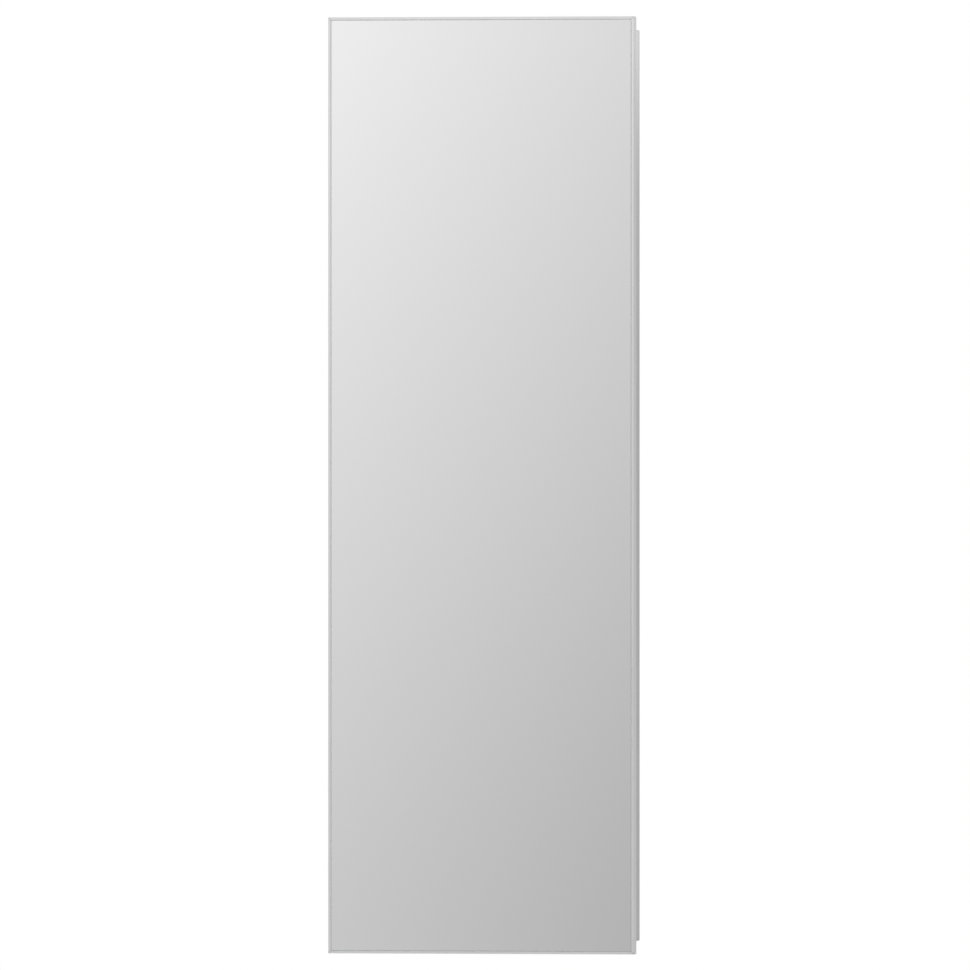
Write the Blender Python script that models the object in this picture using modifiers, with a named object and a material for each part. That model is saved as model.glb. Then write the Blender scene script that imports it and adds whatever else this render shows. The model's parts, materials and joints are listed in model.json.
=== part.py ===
"""Tall wall-hung mirror cabinet: folded sheet body, glass shelves and a mirror door on a long hinge.

Metres, +Z up. The front faces -Y and the wall face is the plane Y = 0. The origin is the middle of
the rear brace, where the cabinet meets the wall. The door turns about the hinge pin on the left.
Run it with: blender --background --python part.py
"""

import math

import bmesh
import bpy
from mathutils import Matrix, Vector

# Driving dimensions
JOINT_GAP = 0.0003  # between pieces that touch
BODY_WIDTH = 0.280
BODY_HEIGHT = 0.892
BODY_DEPTH = 0.110
WALL = 0.002  # folded sheet of the body
BEND_RADIUS = 0.0022  # outside of each fold
FRONT_FLANGE = 0.014
BACK_FLANGE = 0.018
MITRE_GAP = 0.00015  # each side of a mitred corner
INSIDE_BEND = 0.0005  # inside of the folds in the smaller sheet parts

BACK_RECESS = 0.0145  # room behind the back panel for the hangers
BACK_SHEET = 0.0015
BRACE_SIDE_MARGIN = 0.025  # brace end to the body's outer face
BRACE_FACE = 0.030
BRACE_FOOT = 0.010
BRACE_SHEET = 0.0015
CORNER_LEG = 0.026
CORNER_SHEET = 0.002
CORNER_DEPTH = 0.050

DOOR_OVERHANG = 0.010  # past the body on all four sides, which is the finger grip
DOOR_THICKNESS = 0.020
FRAME_WEB = 0.0024
FRAME_EDGE_RADIUS = 0.0005
FRAME_LIP = 0.026  # width of the frame's rear lip
FRAME_LIP_SHEET = 0.002
FRONT_MIRROR = 0.004
MIRROR_ARRIS = 0.0007
REAR_MIRROR = 0.002

HINGE_END_MARGIN = 0.025  # hinge end to the body's end
HINGE_PIN_RADIUS = 0.001
HINGE_BORE_CLEARANCE = 0.0003
KNUCKLE_WALL = 0.0009
KNUCKLE_COUNT = 21
KNUCKLE_END_GAP = 0.0003
LEAF_SHEET = 0.0009
PIN_SIDE_CLEARANCE = 0.0009  # knuckle to the body's outer face
LEAF_EDGE_MARGIN = 0.001  # leaf edge to flange edge

STRIP_WIDTH = 0.014
STRIP_DEPTH = 0.005
STRIP_SHEET = 0.0012
STRIP_END_MARGIN = 0.020
FRONT_STRIP_SETBACK = 0.026  # body front to the middle of the front strips
REAR_STRIP_SETBACK = 0.022  # back panel to the middle of the rear strips
HOLE_PITCH = 0.056
PEG_RADIUS = 0.002
PEG_CLEARANCE = 0.0003
PEG_LENGTH = 0.0036

SHELF_COUNT = 3
SHELF_GLASS = 0.005
SHELF_FRONT_SETBACK = 0.010
SHELF_BACK_GAP = 0.004
GLASS_EDGE_BEVEL = 0.0006
CLIP_WIDTH = 0.010
CLIP_TONGUE = 0.011
CLIP_SHEET = 0.002
CLIP_STAND = 0.003  # clip's back above the shelf's underside

MAGNET_RADIUS = 0.0042
MAGNET_HEAD_RADIUS = 0.0058
MAGNET_LENGTH = 0.012
MAGNET_FROM_END = 0.145
BUMPER_RADIUS = 0.005
BUMPER_FROM_END = 0.030

RAIL_SIDE_MARGIN = 0.030
RAIL_FROM_TOP = 0.038  # rail's lip to the body's top
RAIL_SHEET = 0.002
RAIL_WEB = 0.022
RAIL_STEP = 0.0055
RAIL_LIP = 0.013
RAIL_SLOT_RADIUS = 0.0025  # screw slots in the rail's web
RAIL_SLOT_TRAVEL = 0.008  # how far a screw can slide in its slot
RAIL_SLOT_FROM_END = 0.030
HANGER_WIDTH = 0.036
HANGER_FROM_SIDE = 0.060
HANGER_SHEET = 0.002
HANGER_PLATE = 0.034
HANGER_TONGUE = 0.009
HANGER_CLEARANCE = 0.0005  # rail lip to the hook's tongue
LOCK_SCREW_RADIUS = 0.002
LOCK_SCREW_CLEARANCE = 0.0004
LOCK_HEAD_RADIUS = 0.004
LOCK_HEAD_LENGTH = 0.0025
COVER_WALL = 0.0012
COVER_MARGIN = 0.004  # cover past the hanger on each side
COVER_DEPTH = 0.008
COVER_EDGE_BEVEL = 0.0009

CUT_PAST = 0.005  # how far a cutter passes the sheet it opens
ROUND_STEPS = 24
SMALL_ROUND_STEPS = 12
BEND_STEPS = 5
SMALL_BEND_STEPS = 3
MERGE_DISTANCE = 0.000001
SHARP_ANGLE = math.radians(35)

# Places that follow from them
HALF_WIDTH = BODY_WIDTH / 2
HALF_HEIGHT = BODY_HEIGHT / 2
INNER_X = HALF_WIDTH - WALL
INNER_Z = HALF_HEIGHT - WALL
FRONT_Y = -BODY_DEPTH
BACK_PANEL_REAR_Y = -BACK_RECESS
BACK_PANEL_FRONT_Y = BACK_PANEL_REAR_Y - BACK_SHEET
FLANGE_REAR_Y = FRONT_Y + WALL
FLANGE_MIDDLE_X = HALF_WIDTH - FRONT_FLANGE / 2

KNUCKLE_BORE = HINGE_PIN_RADIUS + HINGE_BORE_CLEARANCE
KNUCKLE_RADIUS = KNUCKLE_BORE + KNUCKLE_WALL
DOOR_GAP = 2 * (KNUCKLE_RADIUS + JOINT_GAP)
PIN_OFFSET = KNUCKLE_RADIUS + PIN_SIDE_CLEARANCE
PIN_X = -(HALF_WIDTH + PIN_OFFSET)
PIN_Y = FRONT_Y - DOOR_GAP / 2
LEAF_WIDTH = PIN_OFFSET + FRONT_FLANGE - LEAF_EDGE_MARGIN

DOOR_HALF_WIDTH = HALF_WIDTH + DOOR_OVERHANG
DOOR_HALF_HEIGHT = HALF_HEIGHT + DOOR_OVERHANG
DOOR_BACK_Y = FRONT_Y - DOOR_GAP
DOOR_FRONT_Y = DOOR_BACK_Y - DOOR_THICKNESS
PANE_HALF_WIDTH = DOOR_HALF_WIDTH - FRAME_WEB - JOINT_GAP
PANE_HALF_HEIGHT = DOOR_HALF_HEIGHT - FRAME_WEB - JOINT_GAP

STRIP_FACE_X = INNER_X - JOINT_GAP - STRIP_DEPTH
STRIP_FRONT_Y = FRONT_Y + FRONT_STRIP_SETBACK
STRIP_REAR_Y = BACK_PANEL_FRONT_Y - REAR_STRIP_SETBACK
SHELF_HALF_WIDTH = STRIP_FACE_X - 2 * JOINT_GAP - CLIP_SHEET

HINGE_LENGTH = BODY_HEIGHT - 2 * HINGE_END_MARGIN
MAGNET_HEIGHT = HALF_HEIGHT - MAGNET_FROM_END
BUMPER_HEIGHT = HALF_HEIGHT - BUMPER_FROM_END
STRIP_HALF_LENGTH = INNER_Z - STRIP_END_MARGIN - CORNER_LEG
HOLES_EACH_WAY = int(STRIP_HALF_LENGTH / HOLE_PITCH - 0.5)
SHELF_STEP = round(BODY_HEIGHT / (SHELF_COUNT + 1) / HOLE_PITCH)  # in holes

BRACE_LENGTH = BODY_WIDTH - 2 * BRACE_SIDE_MARGIN
RAIL_LENGTH = BODY_WIDTH - 2 * RAIL_SIDE_MARGIN
HANGER_X = HALF_WIDTH - HANGER_FROM_SIDE
RAIL_FRONT_Y = -(RAIL_SHEET + RAIL_STEP)
RAIL_LIP_TOP = HALF_HEIGHT - RAIL_FROM_TOP
LOCK_SCREW_Z = RAIL_LIP_TOP - RAIL_LIP / 2


# Scene, materials and general tools


def clear_scene():
    for obj in list(bpy.data.objects):
        bpy.data.objects.remove(obj, do_unlink=True)


def make_collection(name):
    collection = bpy.data.collections.new(name)
    bpy.context.scene.collection.children.link(collection)
    return collection


def make_material(name, colour, roughness, metallic=0.0, transmission=0.0):
    material = bpy.data.materials.new(name)
    material.use_nodes = True
    shader = material.node_tree.nodes["Principled BSDF"]
    shader.inputs["Base Color"].default_value = (*colour, 1.0)
    shader.inputs["Roughness"].default_value = roughness
    shader.inputs["Metallic"].default_value = metallic
    shader.inputs["Transmission Weight"].default_value = transmission
    return material


def make_materials():
    """One finish for each kind of surface; every piece gets its own copy of its finish."""
    return {
        "body_paint": make_material("body_paint", (0.62, 0.63, 0.63), 0.38, 0.0),
        "frame_metal": make_material("frame_metal", (0.78, 0.78, 0.79), 0.18, 1.0),
        "mirror": make_material("mirror", (0.92, 0.93, 0.93), 0.02, 1.0),
        "shelf_glass": make_material("shelf_glass", (0.80, 0.92, 0.88), 0.03, 0.0, 1.0),
        "door_board": make_material("door_board", (0.80, 0.79, 0.76), 0.55),
        "strip_metal": make_material("strip_metal", (0.66, 0.66, 0.67), 0.35, 1.0),
        "hinge_steel": make_material("hinge_steel", (0.60, 0.60, 0.60), 0.28, 1.0),
        "zinc_steel": make_material("zinc_steel", (0.55, 0.56, 0.57), 0.40, 1.0),
        "clear_plastic": make_material("clear_plastic", (0.86, 0.87, 0.87), 0.30),
        "white_plastic": make_material("white_plastic", (0.82, 0.82, 0.81), 0.42),
        "bumper_rubber": make_material("bumper_rubber", (0.50, 0.50, 0.49), 0.70),
    }


def place(name, mesh, material, collection, matrix=None):
    """A new object of the mesh, with a copy of the material that carries the piece's own name."""
    obj = bpy.data.objects.new(name, mesh)
    obj.matrix_world = matrix or Matrix()
    collection.objects.link(obj)
    if material is not None:
        own = material.copy()
        own.name = f"{name}_{material.name}"
        if not mesh.materials:
            mesh.materials.append(own)
        obj.material_slots[0].link = "OBJECT"
        obj.material_slots[0].material = own
    return obj


def mesh_of(bm, name):
    """The finished mesh, smooth over gentle curves and sharp at its corners."""
    bmesh.ops.recalc_face_normals(bm, faces=bm.faces)
    mesh = bpy.data.meshes.new(name)
    bm.to_mesh(mesh)
    bm.free()
    mesh.shade_smooth()
    mesh.set_sharp_from_angle(angle=SHARP_ANGLE)
    return mesh


def box_mesh(name, size):
    bm = bmesh.new()
    bmesh.ops.create_cube(bm, size=1.0)
    bmesh.ops.scale(bm, vec=size, verts=bm.verts)
    return mesh_of(bm, name)


def block(name, low, high, material, collection, bevel=0.0):
    """A box between two corners, its edges rounded where bevel is given."""
    low = Vector(low)
    high = Vector(high)
    middle = Matrix.Translation((low + high) / 2)
    obj = place(name, box_mesh(name, high - low), material, collection, middle)
    if bevel:
        rounding = obj.modifiers.new("edges", "BEVEL")
        rounding.width = bevel
        rounding.segments = 2
        rounding.limit_method = "ANGLE"
    return obj


def prism_mesh(name, outline, half_length, holes=()):
    """A flat outline in X and Y, extruded both ways along Z, as a welded mesh."""
    curve = bpy.data.curves.new(name, "CURVE")
    curve.dimensions = "2D"
    curve.fill_mode = "BOTH"
    curve.extrude = half_length
    for ring in (outline, *holes):
        spline = curve.splines.new("POLY")
        spline.points.add(len(ring) - 1)
        for point, (x, y) in zip(spline.points, ring):
            point.co = (x, y, 0.0, 1.0)
        spline.use_cyclic_u = True
    holder = bpy.data.objects.new(name, curve)
    bpy.context.scene.collection.objects.link(holder)
    graph = bpy.context.evaluated_depsgraph_get()
    raw = bpy.data.meshes.new_from_object(holder.evaluated_get(graph))
    bpy.data.objects.remove(holder, do_unlink=True)
    bm = bmesh.new()
    bm.from_mesh(raw)
    bmesh.ops.remove_doubles(bm, verts=bm.verts, dist=MERGE_DISTANCE)
    return mesh_of(bm, name)


def along_x(x, y=0.0, z=0.0):
    """Sets an outline drawn in (Y, Z) so that it extrudes along X."""
    return Matrix.Translation((x, y, z)) @ Matrix(
        ((0, 0, 1, 0), (1, 0, 0, 0), (0, 1, 0, 0), (0, 0, 0, 1))
    )


def turned(name, profile, steps, material, collection, matrix):
    """A round piece: the (radius, height) profile turned about its own Z axis."""
    mesh = bpy.data.meshes.new(name)
    points = [(radius, 0.0, height) for radius, height in profile]
    edges = [(i, i + 1) for i in range(len(points) - 1)]
    mesh.from_pydata(points, edges, [])
    obj = place(name, mesh, material, collection, matrix)
    screw = obj.modifiers.new("turn", "SCREW")
    screw.steps = steps
    screw.render_steps = steps
    screw.use_merge_vertices = True
    screw.merge_threshold = MERGE_DISTANCE
    screw.use_smooth_shade = True
    return obj


def facing_front(x, y, z):
    """Turns a piece's own +Z to the front, which is -Y."""
    return Matrix.Translation((x, y, z)) @ Matrix.Rotation(math.pi / 2, 4, "X")


def cutter(name, mesh, cutters, matrix=None):
    obj = place(name, mesh, None, cutters, matrix)
    obj.hide_render = True
    obj.display_type = "WIRE"
    return obj


def cut(obj, tool, operation="DIFFERENCE"):
    boolean = obj.modifiers.new(tool.name, "BOOLEAN")
    boolean.operation = operation
    boolean.solver = "EXACT"
    boolean.object = tool


def add_cylinder(bm, centre, axis, radius, length, steps=SMALL_ROUND_STEPS):
    turn = Vector((0, 0, 1)).rotation_difference(Vector(axis)).to_matrix().to_4x4()
    bmesh.ops.create_cone(
        bm,
        cap_ends=True,
        segments=steps,
        radius1=radius,
        radius2=radius,
        depth=length,
        matrix=Matrix.Translation(centre) @ turn,
    )


def add_box(bm, low, high):
    low = Vector(low)
    high = Vector(high)
    size = high - low
    matrix = Matrix.Translation((low + high) / 2) @ Matrix.Diagonal((*size, 1.0))
    bmesh.ops.create_cube(bm, size=1.0, matrix=matrix)


def arc(centre, radius, start, turn, steps=BEND_STEPS):
    """Points on an arc, its ends included; start and turn are in degrees."""
    angles = [math.radians(start + turn * i / steps) for i in range(steps + 1)]
    across, along = centre
    return [(across + radius * math.cos(a), along + radius * math.sin(a)) for a in angles]


def folded(path, sheet):
    """Section of a sheet with rounded right-angled folds; the sheet lies to the left of the path."""
    path = [Vector(point) for point in path]
    runs = [(end - start).normalized() for start, end in zip(path, path[1:])]
    lefts = [Vector((-run.y, run.x)) for run in runs]
    near = [tuple(path[0])]
    far = [tuple(path[0] + lefts[0] * sheet)]
    for corner, before, after, run in zip(path[1:], lefts, lefts[1:], runs[1:]):
        turn = 1 if run.dot(before) > 0 else -1
        radius = INSIDE_BEND + sheet if turn > 0 else INSIDE_BEND
        centre = corner + turn * radius * (before + after)
        start = math.degrees(math.atan2(-turn * before.y, -turn * before.x))
        other = radius - turn * sheet
        near += arc(centre, radius, start, 90 * turn, SMALL_BEND_STEPS)
        far += arc(centre, other, start, 90 * turn, SMALL_BEND_STEPS)
    near.append(tuple(path[-1]))
    far.append(tuple(path[-1] + lefts[-1] * sheet))
    return near + far[::-1]


def mitred_mesh(name, outline, half_length):
    """The outline, drawn in (inward, forward), extruded and cut at 45 degrees at both ends."""
    mesh = prism_mesh(name, outline, half_length)
    bm = bmesh.new()
    bm.from_mesh(mesh)
    for end in (-1, 1):
        found = bmesh.ops.bisect_plane(
            bm,
            geom=[*bm.verts, *bm.edges, *bm.faces],
            plane_co=(0.0, 0.0, end * (half_length - MITRE_GAP)),
            plane_no=(1.0, 0.0, end),
            clear_outer=True,
        )
        edges = [item for item in found["geom_cut"] if isinstance(item, bmesh.types.BMEdge)]
        bmesh.ops.holes_fill(bm, edges=edges)
    bmesh.ops.triangulate(bm, faces=bm.faces)
    return mesh_of(bm, name)


def mitred_frame(names, outline, half_width, half_height, material, collection):
    """Left, top, right and bottom pieces of a mitred rectangle that stands in the XZ plane."""
    forward = Matrix(((1, 0, 0, 0), (0, -1, 0, 0), (0, 0, -1, 0), (0, 0, 0, 1)))
    made = []
    for turn, name in enumerate(names):
        reach, half = (half_width, half_height) if turn % 2 == 0 else (half_height, half_width)
        mesh = mitred_mesh(name, outline, half)
        spin = Matrix.Rotation(turn * math.pi / 2, 4, "Y")
        matrix = spin @ Matrix.Translation((-reach, 0.0, 0.0)) @ forward
        made.append(place(name, mesh, material, collection, matrix))
    return made


# Body


def body_outline():
    """The folded channel of the body's walls, in (inward, forward), rounded at its two folds."""
    radius = BEND_RADIUS
    return [
        *arc((radius, radius), radius, 180, 90),
        (BACK_FLANGE, 0.0),
        (BACK_FLANGE, WALL),
        (WALL, WALL),
        (WALL, BODY_DEPTH - WALL),
        (FRONT_FLANGE, BODY_DEPTH - WALL),
        (FRONT_FLANGE, BODY_DEPTH),
        *arc((radius, BODY_DEPTH - radius), radius, 90, 90),
    ]


def build_walls(materials, parts, cutters):
    names = ("side_left", "top_panel", "side_right", "bottom_panel")
    walls = mitred_frame(
        names, body_outline(), HALF_WIDTH, HALF_HEIGHT, materials["body_paint"], parts
    )
    bm = bmesh.new()
    for side in (-1, 1):
        centre = (FLANGE_MIDDLE_X, FRONT_Y + WALL / 2, side * MAGNET_HEIGHT)
        radius = MAGNET_RADIUS + JOINT_GAP
        add_cylinder(bm, centre, (0, 1, 0), radius, 2 * CUT_PAST, ROUND_STEPS)
    cut(walls[2], cutter("catch_holes", mesh_of(bm, "catch_holes"), cutters))


def build_corners(materials, parts):
    """An angle piece inside each corner, which holds two walls together."""
    outer_x = INNER_X - JOINT_GAP
    outer_z = INNER_Z - JOINT_GAP
    outline = folded([(0.0, CORNER_LEG), (0.0, 0.0), (CORNER_LEG, 0.0)], CORNER_SHEET)
    middle_y = (FLANGE_REAR_Y + BACK_PANEL_FRONT_Y) / 2
    for vertical, level in ((1, "top"), (-1, "bottom")):
        for side, hand in ((-1, "left"), (1, "right")):
            name = f"corner_{level}_{hand}"
            placed = [(-side * x, -vertical * z) for x, z in outline]
            mesh = prism_mesh(name, placed, CORNER_DEPTH / 2)
            # The outline is drawn in (X, Z), so its own Z axis runs to the front.
            matrix = Matrix.Translation((side * outer_x, middle_y, vertical * outer_z))
            matrix = matrix @ Matrix.Rotation(math.pi / 2, 4, "X")
            place(name, mesh, materials["zinc_steel"], parts, matrix)


def build_back(materials, parts, cutters):
    half_x = INNER_X - JOINT_GAP
    half_z = INNER_Z - JOINT_GAP
    low = (-half_x, BACK_PANEL_FRONT_Y, -half_z)
    high = (half_x, BACK_PANEL_REAR_Y, half_z)
    panel = block("back_panel", low, high, materials["body_paint"], parts)
    bm = bmesh.new()
    for side in (-1, 1):
        centre = (side * HANGER_X, BACK_PANEL_REAR_Y, LOCK_SCREW_Z)
        radius = LOCK_SCREW_RADIUS + LOCK_SCREW_CLEARANCE
        add_cylinder(bm, centre, (0, 1, 0), radius, 2 * CUT_PAST)
    cut(panel, cutter("back_holes", mesh_of(bm, "back_holes"), cutters))


def build_brace(materials, parts):
    """A hat section behind the back panel; its flat middle lies on the wall."""
    flange = BACK_PANEL_REAR_Y + JOINT_GAP + BRACE_SHEET
    face = BRACE_FACE / 2
    half = [(0.0, face), (flange, face), (flange, face + BRACE_FOOT)]
    path = [(y, -z) for y, z in reversed(half)] + half
    mesh = prism_mesh("rear_brace", folded(path, BRACE_SHEET), BRACE_LENGTH / 2)
    place("rear_brace", mesh, materials["zinc_steel"], parts, along_x(0.0))


# Hanging parts


def build_rail(materials, parts, cutters):
    """The stepped strip that is screwed to the wall; its lip stands clear for the hooks."""
    step = RAIL_LIP_TOP - RAIL_LIP
    lip = RAIL_FRONT_Y + RAIL_SHEET
    path = [(0.0, step - RAIL_WEB), (0.0, step), (lip, step), (lip, RAIL_LIP_TOP)]
    mesh = prism_mesh("wall_rail", folded(path, RAIL_SHEET), RAIL_LENGTH / 2)
    rail = place("wall_rail", mesh, materials["zinc_steel"], parts, along_x(0.0))
    half = RAIL_SLOT_TRAVEL / 2
    radius = RAIL_SLOT_RADIUS
    slot = [*arc((half, 0.0), radius, -90, 180), *arc((-half, 0.0), radius, 90, 180)]
    for side, hand in ((-1, "left"), (1, "right")):
        name = f"rail_slot_{hand}"
        x = side * (RAIL_LENGTH / 2 - RAIL_SLOT_FROM_END)
        matrix = facing_front(x, 0.0, step - RAIL_WEB / 2)
        cut(rail, cutter(name, prism_mesh(name, slot, CUT_PAST), cutters, matrix))


def hanger_outline():
    """A hook that goes over the rail's lip and hangs behind it, in (Y, Z)."""
    plate = BACK_PANEL_REAR_Y + JOINT_GAP + HANGER_SHEET
    tongue = RAIL_FRONT_Y + RAIL_SHEET + HANGER_CLEARANCE
    bridge = RAIL_LIP_TOP + JOINT_GAP
    path = [
        (plate, bridge + HANGER_SHEET - HANGER_PLATE),
        (plate, bridge),
        (tongue, bridge),
        (tongue, bridge - HANGER_TONGUE),
    ]
    return folded(path, HANGER_SHEET)


def build_hanger(hand, side, materials, parts, cutters):
    x = side * HANGER_X
    name = f"hanger_{hand}"
    mesh = prism_mesh(name, hanger_outline(), HANGER_WIDTH / 2)
    hanger = place(name, mesh, materials["zinc_steel"], parts, along_x(x))
    bm = bmesh.new()
    plate_y = BACK_PANEL_REAR_Y + JOINT_GAP + HANGER_SHEET / 2
    radius = LOCK_SCREW_RADIUS + LOCK_SCREW_CLEARANCE
    add_cylinder(bm, (x, plate_y, LOCK_SCREW_Z), (0, 1, 0), radius, 2 * HANGER_SHEET)
    cut(hanger, cutter(f"{name}_hole", mesh_of(bm, f"{name}_hole"), cutters))


def build_lock_screw(hand, side, materials, parts):
    """Goes through the back panel and the hanger, and bears on the rail's lip."""
    head_seat = BACK_PANEL_FRONT_Y - JOINT_GAP
    tip = RAIL_FRONT_Y - JOINT_GAP
    shank = tip - head_seat
    profile = [
        (0.0, LOCK_HEAD_LENGTH),
        (LOCK_HEAD_RADIUS * 0.8, LOCK_HEAD_LENGTH),
        (LOCK_HEAD_RADIUS, LOCK_HEAD_LENGTH * 0.6),
        (LOCK_HEAD_RADIUS, 0.0),
        (LOCK_SCREW_RADIUS, 0.0),
        (LOCK_SCREW_RADIUS, -shank),
        (0.0, -shank),
    ]
    matrix = facing_front(side * HANGER_X, head_seat, LOCK_SCREW_Z)
    name = f"lock_screw_{hand}"
    turned(name, profile, SMALL_ROUND_STEPS, materials["zinc_steel"], parts, matrix)


def build_cover(hand, side, materials, parts, cutters):
    """A clip-on cap over the lock screw, open at the back."""
    x = side * HANGER_X
    half = HANGER_WIDTH / 2 + COVER_MARGIN
    rear = BACK_PANEL_FRONT_Y - JOINT_GAP
    low = Vector((x - half, rear - COVER_DEPTH, LOCK_SCREW_Z - half))
    high = Vector((x + half, rear, LOCK_SCREW_Z + half))
    name = f"hanger_cover_{hand}"
    cover = block(name, low, high, materials["white_plastic"], parts, COVER_EDGE_BEVEL)
    bm = bmesh.new()
    wall = Vector((COVER_WALL, COVER_WALL, COVER_WALL))
    add_box(bm, low + wall, high + Vector((-COVER_WALL, CUT_PAST, -COVER_WALL)))
    cut(cover, cutter(f"{name}_hollow", mesh_of(bm, f"{name}_hollow"), cutters))


def build_hanging(materials, parts, cutters):
    build_rail(materials, parts, cutters)
    for side, hand in ((-1, "left"), (1, "right")):
        build_hanger(hand, side, materials, parts, cutters)
        build_lock_screw(hand, side, materials, parts)
        build_cover(hand, side, materials, parts, cutters)


# Shelves


def build_strips(materials, parts, cutters):
    """Four perforated channels, two on each side, that the shelf clips plug into."""
    half = STRIP_WIDTH / 2
    path = [(0.0, -half), (STRIP_DEPTH, -half), (STRIP_DEPTH, half), (0.0, half)]
    outline = folded(path, STRIP_SHEET)
    bm = bmesh.new()
    for hole in range(-HOLES_EACH_WAY, HOLES_EACH_WAY + 1):
        for y in (STRIP_FRONT_Y, STRIP_REAR_Y):
            centre = (0.0, y, hole * HOLE_PITCH)
            add_cylinder(bm, centre, (1, 0, 0), PEG_RADIUS + PEG_CLEARANCE, BODY_WIDTH)
    holes = cutter("strip_holes", mesh_of(bm, "strip_holes"), cutters)
    for y, place_name in ((STRIP_FRONT_Y, "front"), (STRIP_REAR_Y, "rear")):
        for side, hand in ((-1, "left"), (1, "right")):
            name = f"shelf_strip_{place_name}_{hand}"
            mesh = prism_mesh(name, outline, STRIP_HALF_LENGTH)
            spin = Matrix.Rotation(0.0 if side < 0 else math.pi, 4, "Z")
            matrix = Matrix.Translation((side * (INNER_X - JOINT_GAP), y, 0.0)) @ spin
            strip = place(name, mesh, materials["strip_metal"], parts, matrix)
            cut(strip, holes)


def clip_mesh(parts):
    """A shelf clip: a back, a tongue under the glass and a peg. Its origin is the peg's axis."""
    rest = -PEG_RADIUS
    outline = [
        (rest - CLIP_SHEET, 0.0),
        (rest - CLIP_SHEET, CLIP_TONGUE),
        (rest, CLIP_TONGUE),
        (rest, CLIP_SHEET),
        (rest + 2 * PEG_RADIUS + CLIP_STAND, CLIP_SHEET),
        (rest + 2 * PEG_RADIUS + CLIP_STAND, 0.0),
    ]
    # The outline is drawn in (Z, X) and extruded along Y.
    upright = Matrix(((0, 1, 0, 0), (0, 0, 1, 0), (1, 0, 0, 0), (0, 0, 0, 1)))
    body = prism_mesh("clip_body", outline, CLIP_WIDTH / 2)
    body.transform(upright)
    bm = bmesh.new()
    centre = ((CLIP_SHEET / 2 - PEG_LENGTH - JOINT_GAP) / 2, 0.0, 0.0)
    length = CLIP_SHEET / 2 + PEG_LENGTH + JOINT_GAP
    add_cylinder(bm, centre, (1, 0, 0), PEG_RADIUS, length)
    peg = place("clip_peg", mesh_of(bm, "clip_peg"), None, parts)
    blank = place("clip_blank", body, None, parts)
    cut(blank, peg, "UNION")
    graph = bpy.context.evaluated_depsgraph_get()
    joined = bpy.data.meshes.new_from_object(blank.evaluated_get(graph))
    for spare in (peg, blank):
        bpy.data.objects.remove(spare, do_unlink=True)
    joined.name = "shelf_clip"
    return joined


def build_shelves(materials, parts):
    front = FRONT_Y + SHELF_FRONT_SETBACK
    rear = BACK_PANEL_FRONT_Y - SHELF_BACK_GAP
    clip = clip_mesh(parts)
    for number in range(1, SHELF_COUNT + 1):
        hole = (number - (SHELF_COUNT + 1) / 2) * SHELF_STEP
        peg_z = round(hole) * HOLE_PITCH
        under = peg_z - PEG_RADIUS + JOINT_GAP
        low = (-SHELF_HALF_WIDTH, front, under)
        high = (SHELF_HALF_WIDTH, rear, under + SHELF_GLASS)
        glass = materials["shelf_glass"]
        block(f"shelf_{number}", low, high, glass, parts, bevel=GLASS_EDGE_BEVEL)
        for y, place_name in ((STRIP_FRONT_Y, "front"), (STRIP_REAR_Y, "rear")):
            for side, hand in ((-1, "left"), (1, "right")):
                spin = Matrix.Rotation(0.0 if side < 0 else math.pi, 4, "Z")
                at = (side * (STRIP_FACE_X - JOINT_GAP), y, peg_z)
                name = f"shelf_{number}_clip_{place_name}_{hand}"
                matrix = Matrix.Translation(at) @ spin
                mesh = clip.copy()
                place(name, mesh, materials["clear_plastic"], parts, matrix)


# Hinge


def leaf_outline(side):
    """A leaf's section about the pin: a rolled knuckle and a flat strip. side is 1 at the body."""
    inner = KNUCKLE_RADIUS - LEAF_SHEET
    start = math.atan2(inner, math.sqrt(KNUCKLE_RADIUS**2 - inner**2))
    turn = -(start + 1.5 * math.pi)
    points = [(LEAF_WIDTH, side * KNUCKLE_RADIUS), (LEAF_WIDTH, side * inner)]
    for i in range(ROUND_STEPS + 1):
        angle = start + turn * i / ROUND_STEPS
        x = KNUCKLE_RADIUS * math.cos(angle)
        points.append((x, side * KNUCKLE_RADIUS * math.sin(angle)))
    return points


def ring(radius, steps):
    """Points round a circle; none of them is in line with the leaf's flat faces."""
    angles = [2 * math.pi * (i + 0.5) / steps for i in range(steps)]
    return [(radius * math.cos(angle), radius * math.sin(angle)) for angle in angles]


def build_leaf(name, side, taken, materials, parts, cutters):
    """One leaf. The cutter takes away the knuckles that belong to the other leaf."""
    bore = ring(KNUCKLE_BORE, SMALL_ROUND_STEPS)
    mesh = prism_mesh(name, leaf_outline(side), HINGE_LENGTH / 2, [bore])
    matrix = Matrix.Translation((PIN_X, PIN_Y, 0.0))
    leaf = place(name, mesh, materials["hinge_steel"], parts, matrix)
    reach = KNUCKLE_RADIUS + JOINT_GAP
    pitch = HINGE_LENGTH / KNUCKLE_COUNT
    bm = bmesh.new()
    for i in range(taken, KNUCKLE_COUNT, 2):
        low_z = -HINGE_LENGTH / 2 + i * pitch - KNUCKLE_END_GAP / 2
        high_z = low_z + pitch + KNUCKLE_END_GAP
        low = (PIN_X - reach, PIN_Y - reach, low_z)
        high = (PIN_X + reach, PIN_Y + reach, high_z)
        add_box(bm, low, high)
    cut(leaf, cutter(f"{name}_gaps", mesh_of(bm, f"{name}_gaps"), cutters))
    return leaf


def build_pin(materials, parts):
    half = HINGE_LENGTH / 2
    radius = HINGE_PIN_RADIUS
    chamfer = radius / 3
    profile = [
        (0.0, half),
        (radius - chamfer, half),
        (radius, half - chamfer),
        (radius, chamfer - half),
        (radius - chamfer, -half),
        (0.0, -half),
    ]
    matrix = Matrix.Translation((PIN_X, PIN_Y, 0.0))
    turned("hinge_pin", profile, SMALL_ROUND_STEPS, materials["hinge_steel"], parts, matrix)


# Door


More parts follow.
